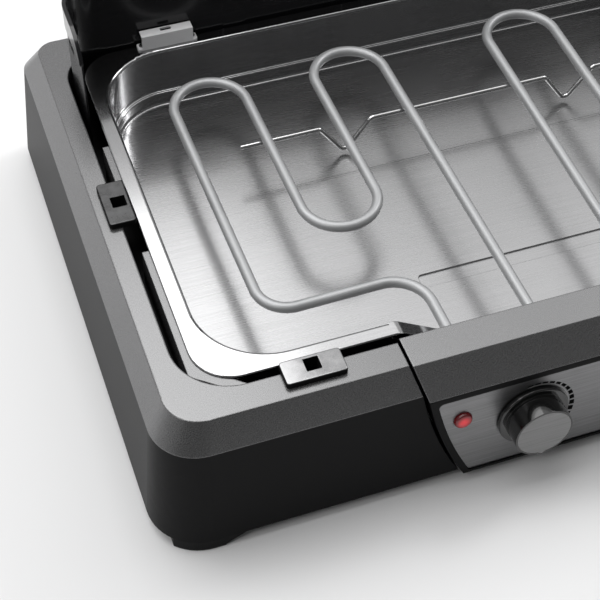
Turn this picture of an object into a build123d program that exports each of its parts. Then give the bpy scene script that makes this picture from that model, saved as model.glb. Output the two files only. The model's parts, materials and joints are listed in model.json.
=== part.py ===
"""Tabletop barbecue griddle base: housing, water tray, heating unit with control box, wind shield.

Millimetres, +X to the right, +Y to the back, +Z up.  Every piece is modelled in its place in the
assembled object, about the middle of the housing and with heights counted from 5 mm below its wall;
save() then moves it so that the origin lies on the table, under the middle of the whole footprint.
"""
from build123d import *
from math import atan, cos, sin
import os

os.makedirs("parts", exist_ok=True)

# ---------------------------------------------------------------- driving dimensions
wall_bottom = 5.0
foot_bottom = -3.6                  # the rubber feet reach this low
rubber_thickness = 1.5
base_half = (278.5, 185.3)          # half length and half depth at the bottom of the wall
wall_height = 76.5
wall_lean = 6.2                     # the wall leans in by this much over its height
bevel_height = 18.0
bevel_run = 10.5
bevel_z = wall_bottom + wall_height
ledge_z = bevel_z + bevel_height    # the flat top of the housing
corner_radii = (32.0, 28.0, 22.0)   # front corners: at the wall's bottom, the bevel and the ledge
rear_radii = (14.0, 14.0, 12.0)
edge_round = 0.8                    # on the bevel's two edges
skin = 3.0
opening_half = (248.7, 150.6)
opening_radii = (35.0, 27.0)        # front and rear corners
well_wall = 2.2
trough_z = 72.0                     # the shield and the rim's collar stand in this trough
trough_floor = 2.0
trough_inner = (233.0, 139.8)
collar_half = (243.0, 150.4)
collar_top = ledge_z - 1.6
collar_width = 9.0
plate_z = 12.0                      # top of the bottom plate

rim_half = (239.0, 145.2)
rim_radius = 26.0
rim_sheet = 1.2
tray_half = (228.8, 135.6)          # inner faces of the tray's wall
tray_radius = 45.0
tray_sheet = 1.0
floor_z = 54.7                      # top of the tray's floor
step_height = 10.0                  # the lowest band of the tray's wall is set in by step_run
step_run = 2.5
notch_drop = 19.0                   # the front rim is lowered where the elements cross it
notch_half = (120.5, 91.0)
notch_round = 8.0

tube_radius = 3.4
tube_z = floor_z + 31.8
leg_pitch = 49.5
inner_leg_x = 38.4                  # inner straight leg of each element, from the middle plane
loop_back_y = 85.5
loop_front_y = -21.5
front_run_y = -96.5
wire_radius = 1.5
wire_y = 46.7

panel_lean = wall_lean / wall_height
panel_tilt = atan(panel_lean)
box_rear = -148.6
box_top_half = 123.0
box_bevel_half = 116.4
box_foot_half = 91.0
box_waist = (107.4, 44.0)           # a point half-way down the box's curved side
box_front_top = -169.9
box_front_y = -189.0                # front face of the control box at the wall's bottom
box_bevel_z = 78.8
box_wall = 2.5
frame_thickness = 3.0
back_thickness = 2.4
knob_x = 49.3
knob_z = 43.8
lamp_x = 94.6
lamp_z = 55.6
knob_height = 16.0
knob_face_radius = 17.6
pointer_reach = 2.6
knob_tip = knob_face_radius + 0.8 * pointer_reach
shaft_radius = 3.0
running_gap = 0.05

shield_sheet = 1.2
shield_inner = (244.4, 147.4)       # inner faces of the wings and of the rear panel
shield_radius = 24.0
shield_bottom = 74.5
shield_top = 160.0
wing_front = 83.5
wing_radius = 22.0
hem_height = 16.0

lug_length = 36.0
lug_width = 16.6
lug_thickness = 4.0
lug_x = 176.5
lug_y = 3.0
lug_gap = 0.7                       # clearance between a lug and the rim of the tray
peg_hole = 9.0
peg_offset = 1.6                    # the peg hole sits this much towards the tray
rivet_radius = 1.2
screw_radius = 1.45
screw_head = 1.8
pilot_radius = 1.5


def save(part, name):
    """Move a finished piece into the object's frame, label it and write its own STEP file."""
    placed = part.moved(Location((0, footprint_shift, -foot_bottom)))
    placed.label = name
    export_step(placed, f"parts/{name}.step")


def mirrored(part):
    """The same piece on the other side of the middle plane."""
    return mirror(part, about=Plane.YZ)


def panel_y(z):
    """The control panel's front face at height z."""
    return box_front_y + (z - wall_bottom) * panel_lean


def panel_plane(x, z, depth=0.0):
    """A plane on the control panel at (x, z), facing out and moved in by depth."""
    facing = Vector(0, -cos(panel_tilt), sin(panel_tilt))
    return Plane(origin=Vector(x, panel_y(z), z) - facing * depth, x_dir=(1, 0, 0), z_dir=facing)


# The origin is under the middle of the whole footprint, so half of what the knobs reach out past
# the housing is added along Y when a piece is saved.
knob_front = panel_y(knob_z) - knob_height * cos(panel_tilt) - knob_tip * sin(panel_tilt)
footprint_shift = -(knob_front + base_half[1]) / 2


# ---------------------------------------------------------------- shared forms
def housing_body(inset, top):
    """The housing's outer form, moved in by inset all round and stopped at height top."""
    heights = (wall_bottom, bevel_z, ledge_z)
    runs = (0.0, wall_lean, wall_lean + bevel_run)
    sections = zip(heights, runs, corner_radii, rear_radii)
    with BuildPart() as body:
        for z, run, front_radius, rear_radius in sections:
            half = (base_half[0] - run - inset, base_half[1] - run - inset)
            with BuildSketch(Plane.XY.offset(z)):
                add(rounded_face(half, (front_radius - inset, rear_radius - inset)))
        loft(ruled=True)
        split(bisect_by=Plane.XY.offset(top), keep=Keep.BOTTOM)
    return body.part


def rounded_face(half, radii):
    """A rectangle centred on the origin, its front and rear corners rounded by radii."""
    with BuildSketch(mode=Mode.PRIVATE) as face:
        Rectangle(2 * half[0], 2 * half[1])
        fillet(face.vertices().group_by(Axis.Y)[0], radii[0])
        fillet(face.vertices().group_by(Axis.Y)[-1], radii[1])
    return face.sketch


def ring(outer_half, outer_radii, inner_half, inner_radii, bottom, height):
    """A straight wall between two rounded rectangles."""
    with BuildPart() as wall:
        with BuildSketch(Plane.XY.offset(bottom)):
            add(rounded_face(outer_half, outer_radii))
            add(rounded_face(inner_half, inner_radii), mode=Mode.SUBTRACT)
        extrude(amount=height)
    return wall.part


def box_outline(growth, rear, front):
    """The control box seen from the front, grown sideways, as a prism from rear to front along Y."""
    top = (box_top_half + growth, ledge_z)
    bevel = (box_bevel_half + growth, box_bevel_z)
    waist = (box_waist[0] + growth, box_waist[1])
    foot = (box_foot_half + growth, wall_bottom)
    with BuildPart() as prism:
        with BuildSketch(Plane.XZ.offset(-rear)):
            with BuildLine():
                for side in (-1, 1):
                    Polyline((0, ledge_z + 2), (side * top[0], ledge_z + 2), (side * top[0], top[1]))
                    Line((side * top[0], top[1]), (side * bevel[0], bevel[1]))
                    ThreePointArc(
                        (side * bevel[0], bevel[1]), (side * waist[0], waist[1]), (side * foot[0], foot[1])
                    )
                    Polyline((side * foot[0], foot[1]), (side * foot[0], foot[1] - 2), (0, foot[1] - 2))
            make_face()
        extrude(amount=rear - front)
    return prism.part


def box_body(inset):
    """The control box's outer form, moved in by inset on every side."""
    bottom = wall_bottom + inset
    with BuildPart() as body:
        with BuildSketch(Plane.YZ.offset(-box_top_half - 5)):
            with BuildLine():
                Polyline(
                    (box_rear - inset, bottom),
                    (box_rear - inset, ledge_z - inset),
                    (box_front_top + inset * 0.6, ledge_z - inset),
                    (panel_y(box_bevel_z) + inset, box_bevel_z - inset * 0.5),
                    (panel_y(bottom) + inset, bottom),
                    close=True,
                )
            make_face()
        extrude(amount=2 * box_top_half + 10)
        add(box_outline(-inset, box_rear + 1, box_front_y - 2), mode=Mode.INTERSECT)
    return body.part


def slab(half, radius, bottom, top):
    """A flat block with rounded corners, centred on the origin."""
    with BuildPart() as block:
        with BuildSketch(Plane.XY.offset(bottom)):
            RectangleRounded(2 * half[0], 2 * half[1], radius)
        extrude(amount=top - bottom)
    return block.part


def panel_slab(depth_from, depth_to, z_from, z_to, half_width=box_top_half + 5):
    """A layer parallel to the control panel, between two depths and two heights."""
    with BuildPart() as layer:
        with BuildSketch(Plane.YZ.offset(-half_width)):
            with BuildLine():
                Polyline(
                    (panel_y(z_from) + depth_from, z_from),
                    (panel_y(z_to) + depth_from, z_to),
                    (panel_y(z_to) + depth_to, z_to),
                    (panel_y(z_from) + depth_to, z_from),
                    close=True,
                )
            make_face()
        extrude(amount=2 * half_width)
    return layer.part


def screw(plane, length):
    """A pan-head screw: the head stands on the plane and the shank goes in behind it."""
    with BuildPart(plane) as one:
        Cylinder(3.0, screw_head, align=(Align.CENTER, Align.CENTER, Align.MIN))
        Cylinder(screw_radius, length, align=(Align.CENTER, Align.CENTER, Align.MAX))
        with BuildSketch(plane.offset(screw_head)):
            Rectangle(3.6, 0.8)
            Rectangle(0.8, 3.6)
        extrude(amount=-0.9, mode=Mode.SUBTRACT)
    return one.part


def swept_rod(path, radius):
    """A round rod along a finished wire."""
    with BuildPart() as rod:
        with BuildSketch(Plane(origin=path @ 0, z_dir=path % 0)):
            Circle(radius)
        sweep(path=path)
    return rod.part


# ---------------------------------------------------------------- housing
foot_size = (42.0, 36.0)
foot_center = (base_half[0] - 30.5, base_half[1] - foot_size[1] / 2)
foot_slope = (12.0, 5.0)            # run of the slopes at the foot's two inner ends
foot_base = foot_bottom + rubber_thickness
pad_gap = 0.05
pad_plug = (24.0, 24.0)             # the part of the rubber that goes up into the foot
plug_offset = 6.0                   # from the foot's middle towards its outer end
boss_radius = 4.6
boss_spots = [(sx * 240.9, sy * 92.0) for sx in (-1, 1) for sy in (-1, 1)]
boss_spots += [(sx * 165.0, sy * 145.6) for sx in (-1, 1) for sy in (-1, 1)]
cut_gap = 2.0                       # between the control box and the housing's cut-out
cheek = 2.2
lug_spots = {
    "support_lug_front_left": (-lug_x, -rim_half[1] - lug_gap - lug_width / 2, 0),
    "support_lug_front_right": (lug_x, -rim_half[1] - lug_gap - lug_width / 2, 0),
    "support_lug_left": (-rim_half[0] - lug_gap - lug_width / 2, lug_y, -90),
    "support_lug_right": (rim_half[0] + lug_gap + lug_width / 2, lug_y, 90),
}
rivet_offsets = [(-13.0, -5.8), (13.0, -5.8)]   # in the lug's own plane, away from the tray
cup_wall = 1.4
cup_depth = 9.0


def lug_plane(name):
    """The plane on the ledge at a lug, with its Y axis pointing to the tray."""
    x, y, turn = lug_spots[name]
    return Plane(origin=(x, y, ledge_z), x_dir=Vector(1, 0, 0).rotate(Axis.Z, turn), z_dir=(0, 0, 1))


def collar_corner():
    """The collar under the rim at the front left corner, and its piece behind the left lug."""
    outer = -collar_half[0]
    inner = outer + collar_width
    with BuildPart() as wall:
        with BuildSketch(Plane.XY.offset(trough_z - 1)):
            with BuildLine():
                Polyline(
                    (outer, -37),
                    (outer, -135.2),
                    (-224, -collar_half[1]),
                    (-213, -collar_half[1]),
                    (-225, -140.8),
                    (inner, -128),
                    (inner, -37),
                    close=True,
                )
            make_face()
            with Locations(((outer + inner) / 2, 42)):
                Rectangle(collar_width, 32)
        extrude(amount=collar_top - trough_z + 1)
    return wall.part


def foot_outline(end, trim):
    """The outline of a left foot at the front (end -1) or rear (end 1), less trim at its inner ends."""
    x, y = -foot_center[0], end * foot_center[1]
    with BuildSketch(mode=Mode.PRIVATE) as outline:
        add(rounded_face(base_half, (corner_radii[0], rear_radii[0])))
        with Locations((x - trim[0] / 2, y + end * trim[1] / 2)):
            Rectangle(foot_size[0] - trim[0], foot_size[1] - trim[1], mode=Mode.INTERSECT)
    return outline.sketch


def left_foot(end):
    """The moulded foot at a left corner, flush with the wall and sloped at its inner ends."""
    x, y = -foot_center[0], end * foot_center[1]
    inner_x = x + foot_size[0] / 2
    inner_y = y - end * foot_size[1] / 2
    slopes = (
        (Plane.XZ, inner_x, inner_x - foot_slope[0], base_half[1]),
        (Plane.YZ, inner_y, inner_y + end * foot_slope[1], base_half[0]),
    )
    with BuildPart() as block:
        with BuildSketch(Plane.XY.offset(foot_base)):
            add(foot_outline(end, (0, 0)))
        extrude(amount=wall_bottom - foot_base)
        for plane, upper, lower, reach in slopes:
            with BuildSketch(plane):
                Polygon((upper, wall_bottom), (lower, foot_base), (upper, foot_base), align=None)
            extrude(amount=reach + 1, both=True, mode=Mode.SUBTRACT)
        with BuildSketch(Plane.XY.offset(wall_bottom - 0.01)):
            with Locations((x + 3, y - 4 * end)):
                Rectangle(foot_size[0] - 16, foot_size[1] - 12)
        extrude(amount=plate_z - wall_bottom)
        with BuildSketch(Plane.XY.offset(foot_base)):
            with Locations((x - plug_offset, y)):
                RectangleRounded(pad_plug[0] + 0.4, pad_plug[1] + 0.4, 6)
        extrude(amount=1.0, mode=Mode.SUBTRACT)
    return block.part


def left_pad(end):
    """The rubber under a left foot, as wide as the foot, with a plug that goes up into it."""
    with BuildPart() as pad:
        with BuildSketch(Plane.XY.offset(foot_bottom)):
            add(foot_outline(end, (foot_slope[0] + 0.5, foot_slope[1] + 0.5)))
        extrude(amount=rubber_thickness - pad_gap)
        with BuildSketch(Plane.XY.offset(foot_bottom)):
            with Locations((-foot_center[0] - plug_offset, end * foot_center[1])):
                RectangleRounded(*pad_plug, 5.8)
        extrude(amount=rubber_thickness + 0.9)
        chamfer(pad.edges().group_by(Axis.Z)[0], 0.4)
    return pad.part


with BuildPart() as base_housing:
    add(housing_body(0.0, ledge_z))
    for z in (bevel_z, ledge_z):
        fillet(base_housing.edges().filter_by_position(Axis.Z, z - 0.01, z + 0.01), radius=edge_round)
    add(housing_body(skin, ledge_z - skin), mode=Mode.SUBTRACT)
    with BuildSketch(Plane.XY.offset(ledge_z + 1)):
        add(rounded_face(opening_half, opening_radii))
    extrude(amount=-skin - 2, mode=Mode.SUBTRACT)
    on_top = base_housing.edges().filter_by_position(Axis.Z, ledge_z - 0.01, ledge_z + 0.01)
    opening_rim = on_top.filter_by(
        lambda edge: abs(edge.center().X) < opening_half[0] + 0.1
        and abs(edge.center().Y) < opening_half[1] + 0.1
    )
    fillet(opening_rim, radius=1.0)
    # the well below the opening and the floor of the trough
    outer_well = (opening_half[0] + well_wall, opening_half[1] + well_wall)
    outer_radii = (opening_radii[0] + well_wall, opening_radii[1] + well_wall)
    well_base = trough_z - trough_floor
    add(ring(
        outer_well, outer_radii, opening_half, opening_radii,
        well_base, ledge_z - 1.5 - well_base,
    ))
    add(ring(
        outer_well, outer_radii, trough_inner, (tray_radius, tray_radius),
        well_base, trough_floor,
    ))
    add(collar_corner())
    add(mirrored(collar_corner()))
    for end in (-1, 1):
        add(left_foot(end))
        add(mirrored(left_foot(end)))
    # bosses for the bottom plate's screws
    with BuildSketch(Plane.XY.offset(plate_z)):
        with Locations(boss_spots):
            Circle(boss_radius)
    extrude(amount=well_base - plate_z + 0.5)
    with BuildSketch(Plane.XY.offset(plate_z)):
        with Locations(boss_spots):
            Circle(pilot_radius)
    extrude(amount=16, mode=Mode.SUBTRACT)
    # the cut-out for the control box, with cheeks that close the hollow wall beside it
    with BuildPart(mode=Mode.PRIVATE) as cheeks:
        add(housing_body(1.0, ledge_z - 1.0))
        add(box_outline(cut_gap + cheek, -opening_half[1] - 1, -200), mode=Mode.INTERSECT)
    add(cheeks.part)
    add(box_outline(cut_gap, box_rear + screw_head + 0.7, -200), mode=Mode.SUBTRACT)
    # a pocket for each lug's cup, and the holes for its rivets
    for name in lug_spots:
        with BuildSketch(lug_plane(name).offset(1)):
            with Locations((0, peg_offset)):
                Rectangle(peg_hole + 2 * cup_wall + 1, peg_hole + 2 * cup_wall + 1)
        extrude(amount=-cup_depth - 2, mode=Mode.SUBTRACT)
        with BuildSketch(lug_plane(name)):
            with Locations(rivet_offsets):
                Circle(rivet_radius + 0.05)
        extrude(amount=-skin - 1, mode=Mode.SUBTRACT)
save(base_housing.part, "base_housing")

plate_sheet = 1.2
plate_half = (base_half[0] - skin - 2.0, base_half[1] - skin - 2.0)

with BuildPart() as bottom_plate:
    add(slab(plate_half, corner_radii[0] - skin, plate_z - plate_sheet, plate_z))
    with BuildSketch(Plane.XY.offset(plate_z)):
        with Locations((0, -base_half[1])):
            Rectangle(2 * (box_foot_half + 8), 2 * (base_half[1] + box_rear) + 5)
        for sx in (-1, 1):
            for sy in (-1, 1):
                with Locations((sx * (base_half[0] - 20), sy * (base_half[1] - 14))):
                    Rectangle(70, 50)
        with GridLocations(60, 110, 6, 2):
            SlotOverall(36, 5)
        with Locations(boss_spots):
            Circle(screw_radius + 0.35)
    extrude(amount=-plate_sheet, mode=Mode.SUBTRACT)
save(bottom_plate.part, "bottom_plate")

with BuildPart() as bottom_screws:
    for x, y in boss_spots:
        add(screw(Plane(origin=(x, y, plate_z - plate_sheet), x_dir=(1, 0, 0), z_dir=(0, 0, -1)), 14))
save(bottom_screws.part, "bottom_screws")

with BuildPart() as rubber_feet:
    for end in (-1, 1):
        add(left_pad(end))
        add(mirrored(left_pad(end)))
save(rubber_feet.part, "rubber_feet")


# ---------------------------------------------------------------- lugs that carry the cooking plate
def support_lug(name):
    """A metal lug on the ledge, with a square cup for one of the plate's pegs."""
    at = lug_plane(name)
    with BuildPart() as lug:
        with BuildSketch(at.offset(0.05)):
            RectangleRounded(lug_length, lug_width, 2.0)
        extrude(amount=lug_thickness)
        fillet(lug.faces().sort_by(Axis.Z)[-1].edges(), 0.8)
        with BuildSketch(at.offset(0.1)):
            with Locations((0, peg_offset)):
                RectangleRounded(peg_hole + 2 * cup_wall, peg_hole + 2 * cup_wall, 1.0)
        extrude(amount=-cup_depth)
        with BuildSketch(at.offset(lug_thickness + 1)):
            with Locations((0, peg_offset)):
                RectangleRounded(peg_hole, peg_hole, 0.6)
        extrude(amount=-lug_thickness - cup_depth + 0.4, mode=Mode.SUBTRACT)
        with BuildSketch(at):
            with Locations(rivet_offsets):
                Circle(rivet_radius + 0.05)
        extrude(amount=2.1, mode=Mode.SUBTRACT)
    return lug.part


for name in lug_spots:
    save(support_lug(name), name)

with BuildPart() as lug_rivets:
    for name in lug_spots:
        with BuildSketch(lug_plane(name).offset(-skin)):
            with Locations(rivet_offsets):
                Circle(rivet_radius)
        extrude(amount=skin + 2.0)
        with BuildSketch(lug_plane(name).offset(-skin - 0.05)):
            with Locations(rivet_offsets):
                Circle(2.3)
        extrude(amount=-1.2)
        with BuildSketch(lug_plane(name).offset(-skin - 0.05)):
            with Locations(rivet_offsets):
                Circle(rivet_radius)
        extrude(amount=0.1)
save(lug_rivets.part, "lug_rivets")


# ---------------------------------------------------------------- water tray
rib_center_y = -77.5
rib_size = (155.0, 11.0)
rib_depth = 1.2
groove_y = 27.0


def rim_line(drop):
    """Front view of the rim's line where it dips for the elements, lowered by drop."""
    end = notch_half[0] + 20
    high = ledge_z - drop
    low = high - notch_drop
    return FilletPolyline(
        (-end, high),
        (-notch_half[0], high),
        (-notch_half[1], low),
        (notch_half[1], low),
        (notch_half[0], high),
        (end, high),
        radius=notch_round,
    )


with BuildPart() as water_tray:
    step_z = floor_z + step_height
    low_half = (tray_half[0] - step_run, tray_half[1] - step_run)
    for half, bottom, top in ((low_half, floor_z, step_z), (tray_half, step_z, ledge_z)):
        outer = (half[0] + tray_sheet, half[1] + tray_sheet)
        add(slab(outer, tray_radius + half[0] - tray_half[0] + tray_sheet, bottom - tray_sheet, top))
    add(slab(rim_half, rim_radius, ledge_z - rim_sheet, ledge_z))
    add(slab(low_half, tray_radius - step_run, floor_z, step_z + 1), mode=Mode.SUBTRACT)
    add(slab(tray_half, tray_radius, step_z, ledge_z + 1), mode=Mode.SUBTRACT)
    fillet(water_tray.edges().filter_by_position(Axis.Z, floor_z - 0.01, floor_z + 0.01), 2.0)
    inside = water_tray.edges().filter_by_position(Axis.Z, step_z - 0.01, step_z + 0.01)
    fillet(inside, 1.0)
    on_rim = water_tray.edges().filter_by_position(Axis.Z, ledge_z - 0.01, ledge_z + 0.01)
    inner_rim = on_rim.filter_by(
        lambda edge: abs(edge.center().X) < tray_half[0] + 0.1
        and abs(edge.center().Y) < tray_half[1] + 0.1
    )
    outer_rim = [edge for edge in on_rim if edge not in inner_rim]
    fillet(inner_rim, 2.0)
    fillet(outer_rim, 0.9)
    # the front rim dips where the elements cross it
    with BuildSketch(Plane.XZ.offset(tray_half[1] - 2.5)):
        with BuildLine():
            line = rim_line(0)
            Polyline(line @ 1, line @ 1 + Vector(0, 3), line @ 0 + Vector(0, 3), line @ 0)
        make_face()
    extrude(amount=rim_half[1] - tray_half[1] + 4, mode=Mode.SUBTRACT)
    with BuildSketch(Plane.XZ.offset(tray_half[1])):
        with BuildLine():
            upper = rim_line(0)
            lower = rim_line(rim_sheet)
            Line(upper @ 0, lower @ 0)
            Line(upper @ 1, lower @ 1)
        make_face()
        with Locations((0, ledge_z)):
            Rectangle(2 * notch_half[0] + 8, 60, mode=Mode.INTERSECT)
    extrude(amount=rim_half[1] - tray_half[1] - 0.9)
    # a stamped rib and a fold line in the floor
    with BuildSketch(Plane.XY.offset(floor_z - tray_sheet)):
        with Locations((0, rib_center_y)):
            RectangleRounded(rib_size[0] + 2, rib_size[1] + 2, 4.0)
    extrude(amount=-rib_depth)
    with BuildSketch(Plane.XY.offset(floor_z)):
        with Locations((0, rib_center_y)):
            RectangleRounded(*rib_size, 3.0)
    extrude(amount=-rib_depth, taper=20, mode=Mode.SUBTRACT)
    with BuildSketch(Plane.XY.offset(floor_z)):
        with Locations((0, groove_y)):
            Rectangle(300, 1.6)
    extrude(amount=-0.25, mode=Mode.SUBTRACT)
    for side in (-1, 1):
        with BuildSketch(Plane.XY.offset(ledge_z)):
            with Locations((side * lug_x - 17.5, 142.6), (side * lug_x + 17.5, 142.6)):
                Circle(rivet_radius + 0.05)
        extrude(amount=-rim_sheet, mode=Mode.SUBTRACT)
save(water_tray.part, "water_tray")

rest_length = 35.5
rest_front = 139.2
rest_back = 146.5
rest_height = 11.2
rest_sheet = 1.4


def rear_rest():
    """The folded rest on the left of the rear rim: a web, a slotted top and a foot behind the web."""
    with BuildPart() as rest:
        with BuildSketch(Plane.YZ.offset(-lug_x - rest_length / 2)):
            with BuildLine():
                Polyline(
                    (rest_front, ledge_z + 0.05),
                    (rest_front, ledge_z + rest_height),
                    (rest_back, ledge_z + rest_height),
                    (rest_back, ledge_z + rest_height - rest_sheet),
                    (rest_front + rest_sheet, ledge_z + rest_height - rest_sheet),
                    (rest_front + rest_sheet, ledge_z + 0.05),
                    close=True,
                )
            make_face()
        extrude(amount=rest_length)
        fillet(rest.edges().filter_by(Axis.X).sort_by(Axis.Y)[0:1], 0.3)
        with BuildSketch(Plane.XY.offset(ledge_z + 0.05)):
            with Locations((-lug_x, (rest_front + rim_half[1] + 0.5) / 2)):
                RectangleRounded(rest_length + 6, rim_half[1] - rest_front + 0.5, 1.5)
        extrude(amount=rest_sheet)
        with BuildSketch(Plane.XY.offset(ledge_z + rest_height)):
            with Locations((-lug_x, rest_front + 4.9)):
                RectangleRounded(7.6, 3.0, 0.4)
        extrude(amount=-rest_sheet, mode=Mode.SUBTRACT)
        with BuildSketch(Plane.XY.offset(ledge_z)):
            with Locations((-lug_x - 17.5, 142.6), (-lug_x + 17.5, 142.6)):
                Circle(rivet_radius + 0.05)
        extrude(amount=rest_sheet + 1, mode=Mode.SUBTRACT)
    return rest.part


save(rear_rest(), "rear_rest_left")
save(mirrored(rear_rest()), "rear_rest_right")

with BuildPart() as rest_rivets:
    rivet_spots = [(sx * lug_x + sy * 17.5, 142.6) for sx in (-1, 1) for sy in (-1, 1)]
    with BuildSketch(Plane.XY.offset(ledge_z - rim_sheet - 0.8)):
        with Locations(rivet_spots):
            Circle(2.0)
    extrude(amount=0.75)
    with BuildSketch(Plane.XY.offset(ledge_z - rim_sheet - 0.1)):
        with Locations(rivet_spots):
            Circle(rivet_radius)
    extrude(amount=rim_sheet + rest_sheet + 0.2)
    with BuildSketch(Plane.XY.offset(ledge_z + rest_sheet + 0.08)):
        with Locations(rivet_spots):
            Circle(2.0)
    extrude(amount=0.8)
save(rest_rivets.part, "rest_rivets")


# ---------------------------------------------------------------- wind shield
bead_centers = (-127.5, -40.5, 40.5, 127.5)
bead_width = 16.0
bead_height = 0.6
grip_slot = (16.0, 9.0)
grip_center = (114.0, 138.3)
hem_step = 0.8


def shield_ring(grow_in, grow_out, bottom, top):
    """The shield's sheet as a closed ring, thickened to either side."""
    thickness = shield_sheet + grow_out
    outer = (shield_inner[0] + thickness, shield_inner[1] + thickness)
    inner = (shield_inner[0] - grow_in, shield_inner[1] - grow_in)
    outer_radius = shield_radius + thickness
    inner_radius = shield_radius - grow_in
    return ring(
        outer, (outer_radius, outer_radius), inner, (inner_radius, inner_radius), bottom, top - bottom
    )


with BuildPart() as wind_shield:
    add(shield_ring(0, 0, shield_bottom, shield_top))
    add(shield_ring(0.5, hem_step, shield_top - hem_height, shield_top))
    split(bisect_by=Plane.XZ.offset(-wing_front), keep=Keep.BOTTOM)
    # the front edge of each wing ends in a large round at the top
    with BuildSketch(Plane.YZ.offset(-shield_inner[0] - 5)):
        with BuildLine():
            Polyline(
                (wing_front + wing_radius, shield_top),
                (wing_front - 1, shield_top),
                (wing_front - 1, shield_top - wing_radius),
                (wing_front, shield_top - wing_radius),
            )
            RadiusArc(
                (wing_front, shield_top - wing_radius), (wing_front + wing_radius, shield_top), wing_radius
            )
        make_face()
    extrude(amount=2 * shield_inner[0] + 10, mode=Mode.SUBTRACT)
    with BuildSketch(Plane.YZ.offset(-shield_inner[0] - 5)):
        with Locations(grip_center):
            SlotOverall(*grip_slot)
    extrude(amount=2 * shield_inner[0] + 10, mode=Mode.SUBTRACT)
    # pressed upright beads in the rear panel
    with BuildSketch(Plane.XZ.offset(-shield_inner[1])):
        for x in bead_centers:
            with Locations((x, (shield_bottom + shield_top - hem_height) / 2)):
                Rectangle(bead_width, shield_top - hem_height - shield_bottom - 2)
    extrude(amount=bead_height, taper=30)
save(wind_shield.part, "wind_shield")


# ---------------------------------------------------------------- heating elements
toe_in = 0.7                        # degrees; the legs close in a little towards the front
terminal_x = inner_leg_x + 52.4
bend_radius = 23.5
corner_radius = 20.0
element_end = box_rear - 9.0
legs = [-(inner_leg_x + n * leg_pitch) for n in range(4)]
element_plane = Plane(origin=(legs[0] - 1.5 * leg_pitch, 0, tube_z), z_dir=(0, 0, 1)).rotated((0, 0, toe_in))


def element_point(x, y):
    """A point of the left element, given as if it were not toed in, in the element's own plane."""
    return (x - (legs[0] - 1.5 * leg_pitch), y)


def element_world_x(x, y):
    """Where a leg of the left element comes to lie at depth y."""
    return element_plane.from_local_coords(Vector(*element_point(x, y), 0)).X


def element():
    """The left element: four legs joined by loops, with a front run back to the outer terminal."""
    half_pitch = leg_pitch / 2
    with BuildLine(element_plane) as path:
        Line(element_point(legs[0], element_end), element_point(legs[0], loop_back_y))
        ThreePointArc(
            element_point(legs[0], loop_back_y),
            element_point(legs[0] - half_pitch, loop_back_y + half_pitch),
            element_point(legs[1], loop_back_y),
        )
        Line(element_point(legs[1], loop_back_y), element_point(legs[1], loop_front_y))
        ThreePointArc(
            element_point(legs[1], loop_front_y),
            element_point(legs[1] - half_pitch, loop_front_y - half_pitch),
            element_point(legs[2], loop_front_y),
        )
        Line(element_point(legs[2], loop_front_y), element_point(legs[2], loop_back_y))
        ThreePointArc(
            element_point(legs[2], loop_back_y),
            element_point(legs[2] - half_pitch, loop_back_y + half_pitch),
            element_point(legs[3], loop_back_y),
        )
        FilletPolyline(
            element_point(legs[3], loop_back_y),
            element_point(legs[3], front_run_y),
            element_point(-terminal_x - bend_radius, front_run_y),
            radius=corner_radius,
        )
        RadiusArc(
            element_point(-terminal_x - bend_radius, front_run_y),
            element_point(-terminal_x, front_run_y - bend_radius),
            bend_radius,
        )
        Line(
            element_point(-terminal_x, front_run_y - bend_radius), element_point(-terminal_x, element_end)
        )
    return swept_rod(path.line, tube_radius)


save(element(), "heating_element_left")
save(mirrored(element()), "heating_element_right")

wire_z = tube_z - tube_radius - wire_radius - 0.1
wire_foot_z = floor_z + wire_radius + 0.3
wire_end = 155.0
foot_x = 82.0
dip_half = 18.0

with BuildLine(Plane.XZ.offset(-wire_y)) as wire_path:
    FilletPolyline(
        (-wire_end, wire_z),
        (-foot_x - dip_half, wire_z),
        (-foot_x, wire_foot_z),
        (-foot_x + dip_half, wire_z),
        (foot_x - dip_half, wire_z),
        (foot_x, wire_foot_z),
        (foot_x + dip_half, wire_z),
        (wire_end, wire_z),
        radius=4.0,
    )
save(swept_rod(wire_path.line, wire_radius), "element_support_wire")

# ---------------------------------------------------------------- control box
frame_top = box_bevel_z - 0.15
fascia_inset = 4.6
fascia_z = (wall_bottom + 2.2, box_bevel_z - 4.3)
fascia_sheet = 1.2
fascia_recess = 0.8
knob_spots = [(-knob_x, knob_z), (knob_x, knob_z)]
lamp_spots = [(-lamp_x, lamp_z), (lamp_x, lamp_z)]
bush_radius = 5.0
lens_radius = 5.7
hole_gap = 0.15
tube_holes = [element_world_x(legs[0], box_rear), element_world_x(-terminal_x, box_rear)]
tube_holes += [-x for x in tube_holes]
back_screws = [(-108.0, 88.0), (108.0, 88.0), (-78.0, 14.0), (78.0, 14.0), (0.0, 88.0), (0.0, 14.0)]
gland_x = 60.0
gland_y = -166.0
gland_radius = 6.5


def fascia_form(gap, depth_from, depth_to):
    """The fascia's outline, grown by gap, between two depths behind the panel's face."""
    with BuildPart() as form:
        add(panel_slab(depth_from, depth_to, fascia_z[0] - gap, fascia_z[1] + gap))
        add(box_outline(gap - fascia_inset, box_rear, box_front_y - 5), mode=Mode.INTERSECT)
        corners = form.edges().filter_by(lambda edge: edge.length < 1.2 * (depth_to - depth_from))
        fillet(corners, 3.0)
    return form.part


def panel_holes(radius, spots, depth=12.0):
    """Round holes square to the control panel."""
    with BuildPart() as holes:
        for x, z in spots:
            with BuildSketch(panel_plane(x, z, depth)):
                Circle(radius)
            extrude(amount=depth + 5)
    return holes.part


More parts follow.
